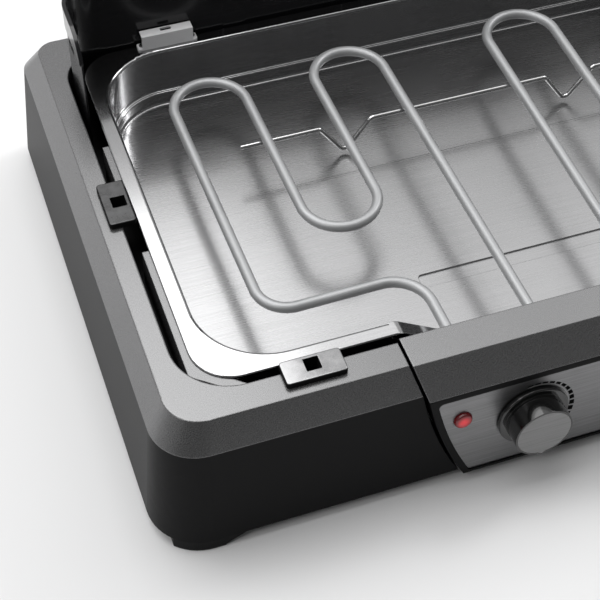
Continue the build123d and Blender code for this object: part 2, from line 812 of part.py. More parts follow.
with BuildPart() as control_box_housing:
    add(box_body(0))
    add(box_body(box_wall), mode=Mode.SUBTRACT)
    add(panel_slab(-12, frame_thickness + 0.1, wall_bottom - 4, box_bevel_z), mode=Mode.SUBTRACT)
    with BuildPart(mode=Mode.PRIVATE) as rear_opening:
        add(box_outline(-box_wall, box_rear + 1, box_rear - box_wall - 0.5))
        split(bisect_by=Plane.XY.offset(ledge_z - box_wall), keep=Keep.BOTTOM)
        split(bisect_by=Plane.XY.offset(wall_bottom + box_wall), keep=Keep.TOP)
    add(rear_opening.part, mode=Mode.SUBTRACT)
    # bosses for the rear cover's screws
    for x, z in back_screws:
        with BuildSketch(Plane.XZ.offset(-box_rear + back_thickness + 0.1)):
            with Locations((x, z)):
                Circle(4.2)
        extrude(amount=16)
    for x, z in back_screws:
        bottom, top = (z, ledge_z - 1) if z > 50 else (wall_bottom + 1, z)
        with BuildSketch(Plane.XZ.offset(-box_rear + back_thickness + 0.1)):
            with Locations((x, (bottom + top) / 2)):
                Rectangle(3.0, top - bottom)
        extrude(amount=12)
    with BuildSketch(Plane.XZ.offset(-box_rear + back_thickness)):
        with Locations(back_screws):
            Circle(pilot_radius)
    extrude(amount=13, mode=Mode.SUBTRACT)
    with BuildSketch(Plane.XY.offset(wall_bottom - 1)):
        with Locations((gland_x, gland_y)):
            Circle(gland_radius)
    extrude(amount=box_wall + 2, mode=Mode.SUBTRACT)
save(control_box_housing.part, "control_box_housing")

with BuildPart() as control_box_back:
    add(box_outline(-box_wall - 0.15, box_rear, box_rear - back_thickness))
    split(bisect_by=Plane.XY.offset(ledge_z - box_wall - 0.15), keep=Keep.BOTTOM)
    split(bisect_by=Plane.XY.offset(wall_bottom + box_wall + 0.15), keep=Keep.TOP)
    with BuildSketch(Plane.XZ.offset(-box_rear - 1)):
        with Locations([(x, tube_z) for x in tube_holes]):
            Circle(tube_radius + 0.3)
        with Locations(back_screws):
            Circle(screw_radius + 0.3)
    extrude(amount=back_thickness + 2, mode=Mode.SUBTRACT)
save(control_box_back.part, "control_box_back")

with BuildPart() as box_screws:
    for x, z in back_screws:
        add(screw(Plane(origin=(x, box_rear, z), x_dir=(1, 0, 0), z_dir=(0, 1, 0)), 13))
save(box_screws.part, "box_screws")

with BuildPart() as fascia_frame:
    add(box_body(0))
    add(panel_slab(-2, frame_thickness, wall_bottom - 4, frame_top), mode=Mode.INTERSECT)
    add(fascia_form(0.15, -3, fascia_recess + fascia_sheet + 0.05), mode=Mode.SUBTRACT)
    add(panel_holes(bush_radius + hole_gap, knob_spots), mode=Mode.SUBTRACT)
    add(panel_holes(lens_radius + hole_gap, lamp_spots), mode=Mode.SUBTRACT)
save(fascia_frame.part, "fascia_frame")

with BuildPart() as fascia_panel:
    add(fascia_form(0, fascia_recess, fascia_recess + fascia_sheet))
    add(panel_holes(bush_radius + hole_gap, knob_spots), mode=Mode.SUBTRACT)
    add(panel_holes(lens_radius + hole_gap, lamp_spots), mode=Mode.SUBTRACT)
save(fascia_panel.part, "fascia_panel")

with BuildPart() as cord_gland:
    with BuildSketch(Plane.XZ.offset(-gland_y)) as profile:
        with BuildLine():
            Polyline(
                (gland_x + 3.6, wall_bottom + 0.4),
                (gland_x + gland_radius - 0.15, wall_bottom + 0.4),
                (gland_x + gland_radius - 0.15, wall_bottom + box_wall + 0.15),
                (gland_x + gland_radius + 2.0, wall_bottom + box_wall + 0.15),
                (gland_x + gland_radius + 1.0, wall_bottom + box_wall + 3.0),
                (gland_x + 3.6, wall_bottom + box_wall + 3.0),
                close=True,
            )
        make_face()
    revolve(axis=Axis((gland_x, gland_y, 0), (0, 0, 1)))
save(cord_gland.part, "cord_gland")


# ---------------------------------------------------------------- lamps
def indicator_lens(x, z):
    """A red lens: a stem through the panel, a collar behind it and a low dome in front."""
    with BuildPart() as lens:
        with BuildSketch(panel_plane(x, z, frame_thickness + 1.5)):
            Circle(lens_radius)
        extrude(amount=frame_thickness + 1.5)
        with BuildSketch(panel_plane(x, z, frame_thickness + 1.6)):
            Circle(lens_radius + 1.6)
        extrude(amount=1.5)
        with BuildSketch(panel_plane(x, z)):
            Circle(lens_radius)
        extrude(amount=1.5, taper=20)
        fillet(lens.faces().sort_by(Axis.Y)[0].edges(), 1.0)
        with BuildSketch(panel_plane(x, z, frame_thickness + 1.7)):
            Circle(lens_radius - 1.6)
        extrude(amount=frame_thickness + 1.0, mode=Mode.SUBTRACT)
    return lens.part


def indicator_lamp(x, z):
    """The neon lamp behind a lens, with its two leads."""
    with BuildPart() as lamp:
        with BuildSketch(panel_plane(x, z, 14)):
            Circle(2.4)
        extrude(amount=12.5)
        with BuildSketch(panel_plane(x, z, 14)):
            with Locations((-1.1, 0), (1.1, 0)):
                Circle(0.4)
        extrude(amount=-7)
    return lamp.part


for side, x in (("left", -lamp_x), ("right", lamp_x)):
    save(indicator_lens(x, lamp_z), f"indicator_lens_{side}")
    save(indicator_lamp(x, lamp_z), f"indicator_lamp_{side}")


# ---------------------------------------------------------------- thermostats and knobs
thermostat_radius = 15.0
thermostat_front = 7.0              # depth of the body's front behind the panel's face
thermostat_depth = 13.0
shaft_rear = 17.0
shaft_front = 12.0
skirt_radius = 22.4
skirt_thickness = 2.6
cap_sheet = 0.9


def thermostat(x, z):
    """A capillary-style thermostat: a round body, a threaded bush through the panel and four tabs."""
    with BuildPart() as body:
        with BuildSketch(panel_plane(x, z, thermostat_front + thermostat_depth)):
            Circle(thermostat_radius)
        extrude(amount=thermostat_depth)
        with BuildSketch(panel_plane(x, z, thermostat_front + 0.5)):
            Circle(bush_radius)
        extrude(amount=thermostat_front + 0.1)
        with BuildSketch(panel_plane(x, z, thermostat_front + 0.1)):
            Rectangle(40, 10)
        extrude(amount=1.5)
        with BuildSketch(panel_plane(x, z, thermostat_front + thermostat_depth)):
            with GridLocations(14, 8, 2, 2):
                Rectangle(6.0, 0.8)
        extrude(amount=-7)
        with BuildSketch(panel_plane(x, z, shaft_rear + 0.4)):
            Circle(shaft_radius + running_gap)
        extrude(amount=shaft_rear + 2, mode=Mode.SUBTRACT)
    return body.part


def knob_shaft(x, z):
    """The thermostat's shaft, with a flat for the knob."""
    with BuildPart() as shaft:
        with BuildSketch(panel_plane(x, z, shaft_rear)):
            Circle(shaft_radius)
        extrude(amount=shaft_rear + shaft_front)
        with BuildSketch(panel_plane(x, z, -3.5)):
            with Locations((0, shaft_radius)):
                Rectangle(2 * shaft_radius, 2.0)
        extrude(amount=shaft_front, mode=Mode.SUBTRACT)
    return shaft.part


def pointer_outline(radius, reach):
    """A disc with a small pointer at the bottom, in the panel's plane."""
    Circle(radius)
    Polygon((-reach, 0.2 - radius), (reach, 0.2 - radius), (0, -radius - 0.75 * reach), align=None)


def knob(x, z):
    """The knob's moulding: skirt, grip with a pointer, bore for the shaft and a seat for the cap."""
    with BuildPart() as grip:
        with BuildSketch(panel_plane(x, z)):
            Circle(skirt_radius)
        extrude(amount=skirt_thickness)
        fillet(grip.edges().filter_by(GeomType.CIRCLE).sort_by(Axis.Y)[0], 1.2)
        with BuildSketch(panel_plane(x, z, -skirt_thickness + 0.1)):
            pointer_outline(knob_face_radius + 0.9, pointer_reach)
        extrude(amount=knob_height - skirt_thickness + 0.1, taper=1.6)
        with BuildSketch(panel_plane(x, z, -knob_height)):
            pointer_outline(knob_face_radius - 0.5, pointer_reach)
        extrude(amount=-cap_sheet, mode=Mode.SUBTRACT)
        with BuildSketch(panel_plane(x, z, -skirt_thickness + 1.0)):
            Circle(knob_face_radius - 2.2)
            Circle(shaft_radius + 2.6, mode=Mode.SUBTRACT)
        extrude(amount=knob_height - skirt_thickness - 2.4, mode=Mode.SUBTRACT)
        with BuildSketch(panel_plane(x, z)):
            Circle(knob_face_radius - 2.2)
            Circle(shaft_radius + 2.6, mode=Mode.SUBTRACT)
        extrude(amount=skirt_thickness, mode=Mode.SUBTRACT)
        with BuildSketch(panel_plane(x, z)):
            Circle(shaft_radius + running_gap)
        extrude(amount=shaft_front + 0.3, mode=Mode.SUBTRACT)
    return grip.part


def knob_cap(x, z):
    """The metal disc pressed into the knob's face."""
    with BuildPart() as cap:
        with BuildSketch(panel_plane(x, z, -knob_height + cap_sheet - 0.05)):
            pointer_outline(knob_face_radius - 0.6, pointer_reach - 0.1)
        extrude(amount=cap_sheet)
    return cap.part


for side, x in (("left", -knob_x), ("right", knob_x)):
    save(thermostat(x, knob_z), f"thermostat_{side}")
    save(knob_shaft(x, knob_z), f"knob_shaft_{side}")
    save(knob(x, knob_z), f"knob_{side}")
    save(knob_cap(x, knob_z), f"knob_cap_{side}")


# ---------------------------------------------------------------- inside the control box
seal_length = 5.0
pin_radius = 1.0
pin_length = 7.0
seal_x = [element_world_x(legs[0], element_end), element_world_x(-terminal_x, element_end)]
seal_x += [-x for x in seal_x]

with BuildPart() as terminal_seals:
    for x in seal_x:
        with BuildSketch(Plane.XZ.offset(-element_end + 0.1)):
            with Locations((x, tube_z)):
                Circle(tube_radius - 0.6)
        extrude(amount=seal_length)
save(terminal_seals.part, "terminal_seals")

with BuildPart() as terminal_pins:
    for x in seal_x:
        with BuildSketch(Plane.XZ.offset(-element_end + seal_length + 0.2)):
            with Locations((x, tube_z)):
                Circle(pin_radius)
        extrude(amount=pin_length)
save(terminal_pins.part, "terminal_pins")

bracket_y = box_rear - back_thickness - 0.2
bracket_sheet = 1.5


def element_bracket(side):
    """The plate that clamps one element's two ends behind the rear cover."""
    xs = [side * abs(x) for x in tube_holes[:2]]
    middle = sum(xs) / 2
    with BuildPart() as plate:
        with BuildSketch(Plane.XZ.offset(-bracket_y)):
            with Locations((middle, tube_z)):
                RectangleRounded(abs(xs[0] - xs[1]) + 14, 13.0, 3)
            with Locations([(x, tube_z) for x in xs]):
                Circle(tube_radius + 0.2, mode=Mode.SUBTRACT)
        extrude(amount=bracket_sheet)
    return plate.part


save(element_bracket(-1), "element_bracket_left")
save(element_bracket(1), "element_bracket_right")

block_size = (34.0, 14.0, 12.0)
block_center = (0.0, -160.5, 36.0)

with BuildPart() as terminal_block:
    with BuildSketch(Plane.XZ.offset(-block_center[1] - block_size[1] / 2)):
        with Locations((block_center[0], block_center[2])):
            RectangleRounded(block_size[0], block_size[2], 1.5)
    extrude(amount=block_size[1])
    with BuildSketch(Plane.XZ.offset(-block_center[1] + block_size[1] / 2)):
        with Locations((block_center[0], block_center[2])):
            with GridLocations(10, 1, 3, 1):
                Circle(2.6)
    extrude(amount=-6, mode=Mode.SUBTRACT)
save(terminal_block.part, "terminal_block")

switch_size = (20.0, 8.0, 11.0)
switch_center = (84.0, -160.0, 40.0)

with BuildPart() as safety_switch:
    with Locations(switch_center):
        Box(*switch_size)
    with BuildSketch(Plane.XZ.offset(-switch_center[1] - switch_size[1] / 2)):
        with Locations((switch_center[0] + 5, switch_center[2])):
            Circle(1.6)
    extrude(amount=-1.8)
    with BuildSketch(Plane.XY.offset(switch_center[2] - switch_size[2] / 2)):
        with Locations([(switch_center[0] + dx, switch_center[1]) for dx in (-7, 0, 7)]):
            Rectangle(0.8, 5.0)
    extrude(amount=-6)
save(safety_switch.part, "safety_switch")

wiring_radius = 0.9
wiring_gap = 1.0                    # between the end of a pin and the wire that serves it
tab_y = box_rear - 8.5


def wire_run(*points):
    """One insulated wire through its points."""
    with BuildLine() as run:
        Spline(*points)
    return swept_rod(run.line, wiring_radius)


with BuildPart() as internal_wiring:
    pin_end = element_end - seal_length - 0.2 - pin_length - wiring_gap
    for side in (-1, 1):
        for pin_x, tab_x in ((abs(seal_x[0]), knob_x - 7), (abs(seal_x[1]), knob_x + 7)):
            add(wire_run(
                (side * pin_x, pin_end, tube_z),
                (side * pin_x, pin_end - 3.5, tube_z - 4),
                (side * (0.6 * pin_x + 0.4 * tab_x), pin_end + 4, tube_z - 15),
                (side * tab_x, tab_y, knob_z + 17),
                (side * tab_x, tab_y, knob_z + 5),
            ))
        add(wire_run(
            (side * (knob_x - 7), tab_y, knob_z - 8),
            (side * 30, tab_y - 4, knob_z - 12),
            (side * 20, block_center[1] - 11, block_center[2] - 4),
            (side * 11, block_center[1] - 12, block_center[2]),
            (side * 10, block_center[1] - block_size[1] / 2 + 3, block_center[2]),
        ))
save(internal_wiring.part, "internal_wiring")
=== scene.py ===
"""Looks of the tabletop electric griddle base: materials, printed dial marks, studio and camera."""
import json
import math

import bpy
from mathutils import Matrix, Vector


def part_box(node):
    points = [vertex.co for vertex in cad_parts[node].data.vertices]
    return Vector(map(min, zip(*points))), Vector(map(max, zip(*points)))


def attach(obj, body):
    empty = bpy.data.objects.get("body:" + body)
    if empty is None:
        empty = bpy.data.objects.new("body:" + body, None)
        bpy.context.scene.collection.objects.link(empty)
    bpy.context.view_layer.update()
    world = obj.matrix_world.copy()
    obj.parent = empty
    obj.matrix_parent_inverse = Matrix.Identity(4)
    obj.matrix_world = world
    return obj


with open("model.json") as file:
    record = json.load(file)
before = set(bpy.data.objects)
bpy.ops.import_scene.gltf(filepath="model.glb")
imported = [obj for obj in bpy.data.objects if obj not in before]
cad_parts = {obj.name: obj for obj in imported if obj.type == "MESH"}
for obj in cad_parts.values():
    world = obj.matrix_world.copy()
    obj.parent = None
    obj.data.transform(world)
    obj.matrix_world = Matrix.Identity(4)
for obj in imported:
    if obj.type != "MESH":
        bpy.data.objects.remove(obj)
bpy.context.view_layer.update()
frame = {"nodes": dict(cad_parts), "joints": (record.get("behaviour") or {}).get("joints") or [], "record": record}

MM = 0.001
ALONG_X = (0.012, 1.0, 1.0)     # squeezes X, so that a noise turns into brush lines along X
EVEN = (1.0, 1.0, 1.0)


# ------------------------------------------------------------------ node tree helpers
class Tree:
    """A material's node tree with short ways to add and join nodes."""

    def __init__(self, name):
        self.material = bpy.data.materials.new(name)
        self.material.use_nodes = True
        self.tree = self.material.node_tree
        self.shader = self.tree.nodes["Principled BSDF"]

    def add(self, kind, **settings):
        """Add a node and set its properties; a setting that names a socket sets that socket."""
        node = self.tree.nodes.new(kind)
        for key, value in settings.items():
            if key in node.inputs:
                node.inputs[key].default_value = value
            else:
                setattr(node, key, value)
        return node

    def join(self, source, target):
        self.tree.links.new(source, target)

    def feed(self, socket, source):
        """Drive a socket of the principled shader."""
        self.join(source, self.shader.inputs[socket])

    def set(self, **values):
        """Set sockets of the principled shader, underscores standing for spaces."""
        for key, value in values.items():
            self.shader.inputs[key.replace("_", " ")].default_value = value

    def axes(self, coordinate="Object"):
        """X, Y and Z of a texture coordinate: Object is a place in metres, Normal a direction."""
        source = self.add("ShaderNodeTexCoord")
        parts = self.add("ShaderNodeSeparateXYZ")
        self.join(source.outputs[coordinate], parts.inputs["Vector"])
        return parts.outputs

    def noise(self, scale, detail=2.0, roughness=0.5, stretch=EVEN):
        """Noise in metres: scale is the number of blotches per metre before the stretch."""
        source = self.add("ShaderNodeTexCoord")
        mapping = self.add("ShaderNodeMapping", Scale=stretch)
        self.join(source.outputs["Object"], mapping.inputs["Vector"])
        node = self.add("ShaderNodeTexNoise", Scale=scale, Detail=detail, Roughness=roughness)
        self.join(mapping.outputs["Vector"], node.inputs["Vector"])
        return node.outputs["Fac"]

    def spread(self, value, low, high, start=0.0, end=1.0):
        """Map a value from start..end to low..high."""
        node = self.add("ShaderNodeMapRange")
        self.join(value, node.inputs["Value"])
        node.inputs["From Min"].default_value = start
        node.inputs["From Max"].default_value = end
        node.inputs["To Min"].default_value = low
        node.inputs["To Max"].default_value = high
        return node.outputs["Result"]

    def vary(self, noise, low, high):
        """Map a noise, most of which lies between 0.3 and 0.7, to low..high."""
        return self.spread(noise, low, high, 0.3, 0.7)

    def above(self, low, high):
        """0 below the height low and 1 above the height high, both in metres over the table."""
        return self.spread(self.axes()["Z"], 0.0, 1.0, low, high)

    def math(self, operation, first, second=0.0):
        """Combine two values; each is a number or a socket."""
        node = self.add("ShaderNodeMath", operation=operation)
        for socket, value in zip(node.inputs, (first, second)):
            if isinstance(value, (int, float)):
                socket.default_value = value
            else:
                self.join(value, socket)
        return node.outputs["Value"]

    def blend(self, factor, first, second):
        """Mix two colours; each is a colour or a socket."""
        node = self.add("ShaderNodeMix", data_type="RGBA")
        self.join(factor, node.inputs["Factor"])
        color_sockets = node.inputs[6:8]        # A and B of the node's colour mode
        for socket, value in zip(color_sockets, (first, second)):
            if hasattr(value, "links"):
                self.join(value, socket)
            else:
                socket.default_value = (*value, 1.0)
        return node.outputs[2]

    def brushing(self, scale, roughness, stretch, cloud_share):
        """Fine brush lines, and the same lines mixed with large soft clouds."""
        lines = self.noise(scale, 3.0, roughness, stretch)
        clouds = self.noise(14.0, 3.0)
        line_part = self.vary(lines, 0.0, 1.0 - cloud_share)
        cloud_part = self.vary(clouds, 0.0, cloud_share)
        return lines, self.math("ADD", line_part, cloud_part)

    def bump(self, height, distance, strength, edge=0.0):
        """Bump the surface; edge also rounds the look of sharp edges by that many metres."""
        node = self.add("ShaderNodeBump", Distance=distance, Strength=strength)
        self.join(height, node.inputs["Height"])
        if edge:
            bevel = self.add("ShaderNodeBevel", samples=4, Radius=edge)
            self.join(bevel.outputs["Normal"], node.inputs["Normal"])
        self.feed("Normal", node.outputs["Normal"])


# ------------------------------------------------------------------ materials
def grey(value):
    """A grey with a trace of blue."""
    return (value, value, 1.01 * value)


def moulded_plastic(name, painted_sheen_foot, painted_sheen_tone):
    """Black grained moulding, with a lighter, metallic, glossier grey above the foot height on its bevel and top:
    a painted sheen standing in for the overhead light there.
    """
    tree = Tree(name)
    # Painted sheen: above the foot height the black turns to a lighter metallic grey, standing in for the light
    # falling on the top and bevel.
    painted_sheen_mask = tree.above(painted_sheen_foot - 0.1 * MM, painted_sheen_foot + 0.1 * MM)
    patches = tree.noise(9.0, 3.0)
    bare = tree.blend(patches, (0.0040, 0.0040, 0.0043), (0.0058, 0.0058, 0.0061))
    # The grey of the painted sheen, mottled by the same patches as the black.
    coat = tree.blend(patches, grey(0.93 * painted_sheen_tone), grey(1.07 * painted_sheen_tone))
    tree.feed("Base Color", tree.blend(painted_sheen_mask, bare, coat))
    tree.feed("Metallic", tree.spread(painted_sheen_mask, 0.0, 0.85))
    grain = tree.noise(1900.0)
    finish = tree.spread(painted_sheen_mask, 0.40, 0.27)
    tree.feed("Roughness", tree.math("ADD", finish, tree.vary(grain, -0.015, 0.015)))
    tree.set(Specular_IOR_Level=0.07)
    tree.bump(grain, 0.006 * MM, 0.5, edge=0.9 * MM)
    return tree.material


def plain_plastic(name, color, roughness, level=0.5, coat=0.0, edge=0.4 * MM):
    """A moulded or painted piece with faint flow marks in its colour and gloss."""
    tree = Tree(name)
    flow = tree.noise(60.0, 3.0)
    lighter = tuple(1.25 * value for value in color)
    tree.feed("Base Color", tree.blend(flow, color, lighter))
    tree.feed("Roughness", tree.vary(flow, 0.85 * roughness, 1.15 * roughness))
    tree.set(Specular_IOR_Level=level, Coat_Weight=coat, Coat_Roughness=0.04)
    tree.bump(tree.noise(1500.0, 1.0), 0.008 * MM, 0.5, edge=edge)
    return tree.material


def brushed_metal(name, dark, light, roughness, stretch=EVEN, scale=900.0, relief=0.006 * MM):
    """Metal brushed along the axis whose stretch is small, with cloudy patches and fine lines."""
    tree = Tree(name)
    lines, cloudy = tree.brushing(scale, 0.65, stretch, cloud_share=0.25)
    tree.feed("Base Color", tree.blend(cloudy, dark, light))
    tree.feed("Roughness", tree.spread(cloudy, 1.2 * roughness, 0.8 * roughness))
    tree.set(Metallic=1.0)
    tree.bump(lines, relief, 0.6, edge=0.3 * MM)
    return tree.material


def tray_steel(floor_z):
    """Sheet steel, finely brushed along its length: a rougher floor, painted darker as shade in the tray's well,
    below polished walls and rim.
    """
    tree = Tree("tray_steel")
    raised = tree.above(floor_z + 1.5 * MM, floor_z + 4.0 * MM)
    lines, cloudy = tree.brushing(1100.0, 0.6, ALONG_X, cloud_share=0.4)
    # Painted shade: the recessed floor gets a darker grey than the walls and rim.
    shaded_floor_tone = tree.blend(cloudy, grey(0.35), grey(0.42))
    wall_tone = tree.blend(cloudy, grey(0.43), grey(0.51))
    tree.feed("Base Color", tree.blend(raised, shaded_floor_tone, wall_tone))
    finish = tree.spread(raised, 0.27, 0.14)
    tree.feed("Roughness", tree.math("ADD", finish, tree.spread(cloudy, 0.03, -0.03)))
    tree.set(Metallic=1.0)
    tree.bump(lines, 0.003 * MM, 0.5, edge=0.4 * MM)
    return tree.material


def lug_steel(name, dark, light, roughness, ledge_z):
    """Steel lug painted as bright metal on its upward top face above ledge_z and near-black on its sides and its
    cup below: a painted highlight and painted shade.
    """
    tree = Tree(name)
    over_ledge = tree.above(ledge_z - 0.2 * MM, ledge_z + 0.2 * MM)
    facing_up = tree.spread(tree.axes("Normal")["Z"], 0.0, 1.0, 0.6, 0.95)
    # Painted highlight: only faces pointing up above the ledge get the bright metal.
    painted_lit_top = tree.math("MULTIPLY", over_ledge, facing_up)
    wear = tree.noise(160.0, 4.0, 0.6)
    plate = tree.blend(tree.vary(wear, 0.0, 1.0), dark, light)
    # Near-black painted shade on the sides and in the cup, where the painted highlight is off.
    tree.feed("Base Color", tree.blend(painted_lit_top, (0.006, 0.006, 0.006), plate))
    tree.feed("Metallic", painted_lit_top)
    finish = tree.spread(painted_lit_top, 0.7, roughness)
    tree.feed("Roughness", tree.math("ADD", finish, tree.vary(wear, -0.02, 0.02)))
    tree.set(Specular_IOR_Level=0.1)
    tree.bump(wear, 0.004 * MM, 0.5, edge=0.4 * MM)
    return tree.material


def element_sheath():
    """Dull annealed tube: grey oxide, slightly blotched and finely speckled."""
    tree = Tree("element_sheath")
    blotch = tree.noise(45.0, 4.0, 0.6)
    speck = tree.noise(2400.0)
    oxide = tree.blend(blotch, (0.31, 0.315, 0.32), (0.42, 0.425, 0.43))
    speckled = tree.blend(tree.spread(speck, 0.0, 0.25, 0.4, 0.8), oxide, (0.52, 0.52, 0.53))
    tree.feed("Base Color", speckled)
    tree.feed("Roughness", tree.vary(blotch, 0.42, 0.52))
    tree.set(Metallic=0.55, Specular_IOR_Level=0.5)
    tree.bump(speck, 0.012 * MM, 0.5)
    return tree.material


def shield_enamel():
    """Gloss black enamel over sheet, with a little orange peel."""
    tree = Tree("shield_enamel")
    peel = tree.noise(260.0)
    tree.feed("Base Color", tree.blend(peel, (0.006, 0.006, 0.007), (0.009, 0.009, 0.010)))
    tree.feed("Roughness", tree.spread(tree.noise(22.0, 3.0), 0.16, 0.22))
    tree.set(Specular_IOR_Level=0.35, Coat_Weight=0.25, Coat_Roughness=0.05)
    tree.bump(peel, 0.006 * MM, 0.4, edge=0.4 * MM)
    return tree.material


def red_lens(box):
    """Clear red moulding for both lenses, with painted shade darkening its rim and a painted glow in its middle.

    The box is one lens's; the other one mirrors it in X, so the distance is taken from |X|.
    """
    tree = Tree("lens_red")
    low, high = box
    place = tree.axes()
    across = tree.math("SUBTRACT", tree.math("ABSOLUTE", place["X"]), abs(low.x + high.x) / 2)
    along = tree.math("SUBTRACT", place["Z"], (low.z + high.z) / 2)
    squares = tree.math("ADD", tree.math("POWER", across, 2.0), tree.math("POWER", along, 2.0))
    from_middle = tree.math("DIVIDE", tree.math("SQRT", squares), (high.x - low.x) / 2)
    facets = tree.noise(500.0, 1.0)
    # Painted glow and shade: a lighter red in the middle of the lens, darkening towards the rim.
    painted_glow_tone = tree.blend(facets, (0.55, 0.020, 0.030), (0.75, 0.050, 0.060))
    painted_rim_shade = tree.spread(from_middle, 0.0, 1.0, 0.25, 0.75)
    tree.feed("Base Color", tree.blend(painted_rim_shade, painted_glow_tone, (0.10, 0.004, 0.006)))
    # Painted glow: the middle emits a little light, though the lens is no lamp.
    tree.feed("Emission Strength", tree.spread(from_middle, 0.35, 0.02, 0.1, 0.6))
    tree.set(Emission_Color=(0.8, 0.02, 0.03, 1.0))
    tree.set(Roughness=0.18, Specular_IOR_Level=0.3, Coat_Weight=0.3, Coat_Roughness=0.03)
    tree.bump(facets, 0.02 * MM, 0.4)
    return tree.material


def lamp_glass():
    """Warm clear glass of the neon lamps behind the lenses."""
    tree = Tree("lamp_glass")
    tree.feed("Base Color", tree.blend(tree.noise(300.0), (0.9, 0.6, 0.35), (0.95, 0.8, 0.6)))
    tree.set(Roughness=0.08, Transmission_Weight=0.8)
    return tree.material


def rubber():
    """Matt black rubber with a dusty bloom."""
    tree = Tree("foot_rubber")
    bloom = tree.noise(120.0, 4.0, 0.6)
    tree.feed("Base Color", tree.blend(bloom, (0.012, 0.012, 0.012), (0.028, 0.028, 0.028)))
    tree.feed("Roughness", tree.spread(bloom, 0.75, 0.92))
    tree.set(Specular_IOR_Level=0.3)
    tree.bump(tree.noise(1400.0), 0.03 * MM, 0.6)
    return tree.material


wall_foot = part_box("control_box_housing")[0].z      # lower edge of the box's and housing's walls
housing_bevel_foot = wall_foot + 76.5 * MM          # where the housing's wall turns into its bevel
box_bevel_foot = wall_foot + 74.1 * MM              # and the control box's
ledge_top = wall_foot + 94.5 * MM
tray_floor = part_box("water_tray")[0].z + 2.2 * MM
fine_lines = 1500.0                                 # noise scale of fine brush lines

materials = {
    # Both mouldings get the painted sheen on their tops and bevels; the box's painted sheen is a little lighter
    # than the housing's.
    "housing_plastic": moulded_plastic("housing_plastic", housing_bevel_foot, 0.20),
    "box_plastic": moulded_plastic("box_plastic", box_bevel_foot, 0.23),
    "knob_plastic": plain_plastic("knob_plastic", (0.005, 0.005, 0.005), 0.10, coat=0.4),
    "insulator": plain_plastic("insulator", (0.55, 0.52, 0.46), 0.6),
    "wire_insulation": plain_plastic("wire_insulation", (0.32, 0.10, 0.04), 0.55),
    "tray_steel": tray_steel(tray_floor),
    "lug_steel": lug_steel("lug_steel", grey(0.26), grey(0.32), 0.10, ledge_top),
    # A darker copy of the lug material for the side lugs: painted shade.
    "shaded_lug_steel": lug_steel("shaded_lug_steel", grey(0.06), grey(0.09), 0.28, ledge_top),
    # The steel rests are drawn as light grey matt plastic: a painted sheen standing in for the light their steel
    # reflects.
    "rest_steel": plain_plastic("rest_steel", grey(0.72), 0.35),
    "plated_steel": brushed_metal("plated_steel", (0.5, 0.5, 0.5), (0.66, 0.66, 0.67), 0.25),
    "wire_steel": brushed_metal("wire_steel", (0.55, 0.55, 0.55), (0.72, 0.72, 0.72), 0.2),
    "fascia_metal": brushed_metal(
        "fascia_metal", (0.17, 0.17, 0.173), (0.27, 0.27, 0.273), 0.33,
        ALONG_X, fine_lines, relief=0.010 * MM,
    ),
    "cap_metal": brushed_metal(
        "cap_metal", (0.17, 0.17, 0.17), (0.25, 0.25, 0.25), 0.34, ALONG_X, fine_lines
    ),
    "element_sheath": element_sheath(),
    "shield_enamel": shield_enamel(),
    "lens_red": red_lens(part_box("indicator_lens_left")),
    "lamp_glass": lamp_glass(),
    "foot_rubber": rubber(),
}

# The two lugs on the sides get a darker, rougher copy of the front lugs' material, painted shade; all four share
# one material slot.
shaded_lug_nodes = {"support_lug_left": "shaded_lug_steel", "support_lug_right": "shaded_lug_steel"}

for subpart in frame["record"]["subparts"]:
    finish = shaded_lug_nodes.get(subpart["node"], subpart["material_slot"])
    mesh = frame["nodes"][subpart["node"]].data
    mesh.materials.clear()
    mesh.materials.append(materials[finish])


# ------------------------------------------------------------------ marks printed round the knobs
ink = plain_plastic("dial_ink", (0.002, 0.002, 0.002), 0.8, level=0.05, edge=0.0)
pale_ink = plain_plastic("dial_pale_ink", (0.30, 0.30, 0.30), 0.5, level=0.3, edge=0.0)

fascia_recess = 0.8 * MM            # the fascia lies this deep behind the point of a knob's joint
ink_bottom = 0.01 * MM
ink_top = 0.08 * MM


def panel_point(joint, radius, clock, lift):
    """A point on the fascia round a knob; clock is in hours, lift is the height off the fascia."""
    turn = math.radians(30.0 * clock)
    across = Vector((1.0, 0.0, 0.0))
    inward = Vector(joint["axis"])
    upward = across.cross(inward)
    offset = across * math.sin(turn) + upward * math.cos(turn)
    return Vector(joint["pos_m"]) + offset * radius + inward * (fascia_recess - lift)


def between(ends, share):
    """The value at that share of the way from the first end to the second."""
    first, second = ends
    return first + (second - first) * share


def printed_band(name, joint, hours, inner, outer, steps, material):
    """A thin printed band between two clock positions; outer holds its outer radius at each."""
    vertices = []
    for step in range(steps + 1):
        share = step / steps
        for radius in (inner, between(outer, share)):
            for lift in (ink_bottom, ink_top):
                vertices.append(panel_point(joint, radius, between(hours, share), lift))
    ring = 4                        # vertices at each step
    faces = []
    for step in range(steps):
        a = ring * step
        b = a + ring
        faces += [
            (a + 1, b + 1, b + 3, a + 3),
            (a, a + 2, b + 2, b),
            (a, b, b + 1, a + 1),
            (a + 2, a + 3, b + 3, b + 2),
        ]
    last = ring * steps
    faces += [(0, 1, 3, 2), (last, last + 2, last + 3, last + 1)]
    mesh = bpy.data.meshes.new(name)
    mesh.from_pydata(vertices, [], faces)
    mesh.materials.append(material)
    piece = bpy.data.objects.new(name, mesh)
    bpy.context.scene.collection.objects.link(piece)
    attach(piece, "control_unit")


scale_hours = (11.6, 16.0)              # where the scale starts and ends, as on a clock face
line_inner = 23.4 * MM
line_outer = 23.8 * MM
dash_inner = 24.4 * MM
dash_outer = (25.0 * MM, 28.2 * MM)     # the dashes grow along the scale
dashes = 12
dash_share = 0.72                       # of each dash's span, the rest being a gap

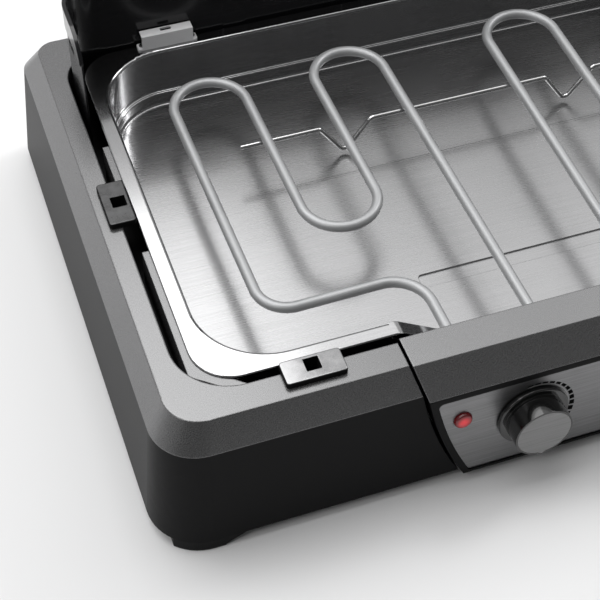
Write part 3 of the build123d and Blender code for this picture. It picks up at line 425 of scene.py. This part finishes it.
for joint in frame["joints"]:
    if joint["type"] != "hinge":
        continue
    body = joint["child"]
    printed_band(
        f"{body}_scale_line", joint, scale_hours, line_inner, (line_outer, line_outer),
        steps=40, material=pale_ink,
    )
    for index in range(dashes):
        first_share = index / dashes
        last_share = (index + 1) / dashes
        hours = (
            between(scale_hours, first_share),
            between(scale_hours, (index + dash_share) / dashes),
        )
        outer = (between(dash_outer, first_share), between(dash_outer, last_share))
        printed_band(
            f"{body}_scale_dash_{index:02d}", joint, hours, dash_inner, outer,
            steps=4, material=ink,
        )


# ------------------------------------------------------------------ studio
scene = bpy.context.scene
scene.view_settings.view_transform = "Standard"
scene.view_settings.look = "None"

reach = 6.0
floor_corners = [(-reach, -reach, 0), (reach, -reach, 0), (reach, reach, 0), (-reach, reach, 0)]
floor_mesh = bpy.data.meshes.new("studio_floor")
floor_mesh.from_pydata(floor_corners, [], [(0, 1, 2, 3)])
floor = bpy.data.objects.new("studio_floor", floor_mesh)
scene.collection.objects.link(floor)
paper = Tree("studio_paper")
paper_tone = paper.blend(paper.noise(3.0), (0.765, 0.765, 0.768), (0.785, 0.785, 0.787))
paper.feed("Base Color", paper_tone)
paper.set(Roughness=0.9, Specular_IOR_Level=0.1)
floor_mesh.materials.append(paper.material)


def softbox(name, spot, facing, size, radiance):
    """A rectangular soft light at spot, shining against the direction facing."""
    light = bpy.data.lights.new(name, "AREA")
    light.shape = "RECTANGLE"
    light.size, light.size_y = size
    light.energy = radiance * math.pi * size[0] * size[1]
    lamp = bpy.data.objects.new(name, light)
    lamp.location = spot
    lamp.rotation_euler = Vector(facing).to_track_quat("Z", "Y").to_euler()
    scene.collection.objects.link(lamp)


def ceiling(name, left, right, front, back, radiance, height=1.9):
    """A level softbox facing down, given by its edges."""
    spot = ((left + right) / 2, (front + back) / 2, height)
    softbox(name, spot, (0.0, 0.0, 1.0), (right - left, back - front), radiance)


# The edges of the two ceilings show as the light and dark zones on the tray's floor and the ledge.
ceiling("overhead", left=-1.7, right=0.29, front=-0.25, back=1.72, radiance=3.1)
ceiling("overhead_right", left=0.32, right=2.0, front=-0.25, back=1.66, radiance=0.80)
softbox(
    "key", spot=(-1.27, -0.86, 1.9), facing=(-0.53, -0.36, 0.77), size=(0.5, 0.5), radiance=5.5
)
softbox(
    "left", spot=(-1.9, -0.75, 1.2), facing=(-0.78, -0.33, 0.50), size=(0.8, 0.8), radiance=1.6
)
softbox(
    "right", spot=(1.45, 0.45, 1.50), facing=(0.70, 0.18, 0.68), size=(0.45, 0.45), radiance=15.0
)

# The surroundings are dim in front of the object and brighter behind it.
front_strength = 0.10
rear_strength = 0.58
world = bpy.data.worlds.new("studio")
scene.world = world
world.use_nodes = True
sky = world.node_tree
direction = sky.nodes.new("ShaderNodeTexCoord")
parts = sky.nodes.new("ShaderNodeSeparateXYZ")
ramp = sky.nodes.new("ShaderNodeMapRange")
ramp.inputs["From Min"].default_value = -0.6
ramp.inputs["From Max"].default_value = 0.3
ramp.inputs["To Min"].default_value = front_strength
ramp.inputs["To Max"].default_value = rear_strength
sky.links.new(direction.outputs["Generated"], parts.inputs["Vector"])
sky.links.new(parts.outputs["Y"], ramp.inputs["Value"])
sky.links.new(ramp.outputs["Result"], sky.nodes["Background"].inputs["Strength"])
sky.nodes["Background"].inputs["Color"].default_value = (1.0, 1.0, 1.0, 1.0)


# ------------------------------------------------------------------ camera
# Place, turn and focal length come from a perspective fit to the object's straight edges.
housing_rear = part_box("base_housing")[1].y
camera_spot = Vector((-353.41 * MM, housing_rear - 803.17 * MM, wall_foot + 734.73 * MM))
yaw = math.radians(19.96)           # to the right of straight ahead
pitch = math.radians(49.48)         # down from level
roll = math.radians(0.97)           # the camera's right side is raised by this much
sensor = 36.0
focal_share = 1457.85 / 600.0       # focal length over the picture's width

look = Vector((math.sin(yaw) * math.cos(pitch), math.cos(yaw) * math.cos(pitch), -math.sin(pitch)))
level_right = Vector((math.cos(yaw), -math.sin(yaw), 0.0))
level_up = level_right.cross(look)
right = level_right * math.cos(roll) + level_up * math.sin(roll)
up = -level_right * math.sin(roll) + level_up * math.cos(roll)
camera_data = bpy.data.cameras.new("camera")
camera_data.sensor_width = sensor
camera_data.lens = sensor * focal_share
camera = bpy.data.objects.new("camera", camera_data)
axes = Matrix((right, up, -look)).transposed().to_4x4()
camera.matrix_world = Matrix.Translation(camera_spot) @ axes
scene.collection.objects.link(camera)
scene.camera = camera
